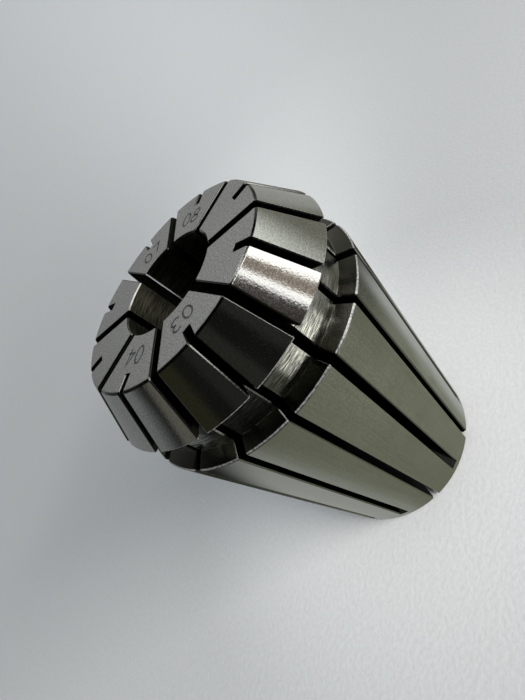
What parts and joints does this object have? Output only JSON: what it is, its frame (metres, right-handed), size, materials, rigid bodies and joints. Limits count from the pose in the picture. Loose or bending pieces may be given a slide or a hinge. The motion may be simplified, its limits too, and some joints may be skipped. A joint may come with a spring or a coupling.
{
  "type": "er collet",
  "caption": "Slit steel spring collet for a tool holder, with a long seating taper, a steep nut cone, a pull-out groove and a through bore.",
  "frame": {"origin": "centre of the small rear face, on which the collet stands", "axes": "+Z along the collet's axis towards its front face; +X through the middle of a slot sawn from the front"},
  "size_m": [0.026, 0.026, 0.034],
  "materials": {
    "steel": "hardened and ground"
  },
  "bodies": {
    "root": {"collet": "steel"}
  },
  "joints": []
}
